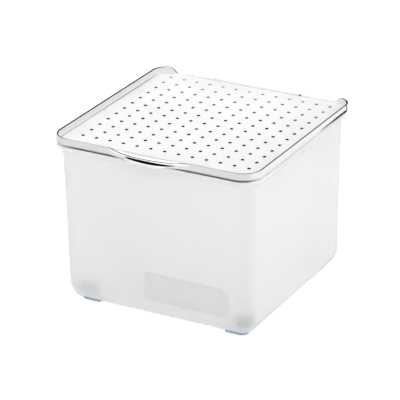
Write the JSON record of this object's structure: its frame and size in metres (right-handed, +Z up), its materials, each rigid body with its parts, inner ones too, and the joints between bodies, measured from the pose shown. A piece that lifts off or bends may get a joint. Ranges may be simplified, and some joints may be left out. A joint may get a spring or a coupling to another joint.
{
  "type": "fridge bin",
  "caption": "Square translucent fridge bin with a clear hinged lid, a front finger pull, a dotted lid top with a raised stacking border, and soft corner feet.",
  "frame": {"origin": "centre of the closed bin's footprint box, on the surface the feet stand on", "axes": "+Z up, -Y towards the front with the finger pull, +Y towards the hinge, +X to the right seen from the front"},
  "size_m": [0.266, 0.284, 0.212],
  "materials": {
    "frosted_plastic": "translucent frosted polypropylene, satin outside",
    "clear_plastic": "clear glossy moulded plastic with raised dots",
    "pin_steel": "plain drawn wire",
    "label_film": "matt grey write-on film",
    "foot_elastomer": "soft blue-grey thermoplastic elastomer"
  },
  "bodies": {
    "bin": {"bin_body": "frosted_plastic", "hinge_pin_left": "pin_steel", "hinge_pin_right": "pin_steel", "label_panel": "label_film", "foot_front_left": "foot_elastomer", "foot_front_right": "foot_elastomer", "foot_rear_left": "foot_elastomer", "foot_rear_right": "foot_elastomer"},
    "lid": {"lid": "clear_plastic"}
  },
  "joints": [
    {"name": "lid_hinge", "type": "hinge", "parent": "bin", "child": "lid", "pos_m": [0, 0.1385, 0.199], "axis": [-1, 0, 0], "range_deg": [0, 110]}
  ]
}
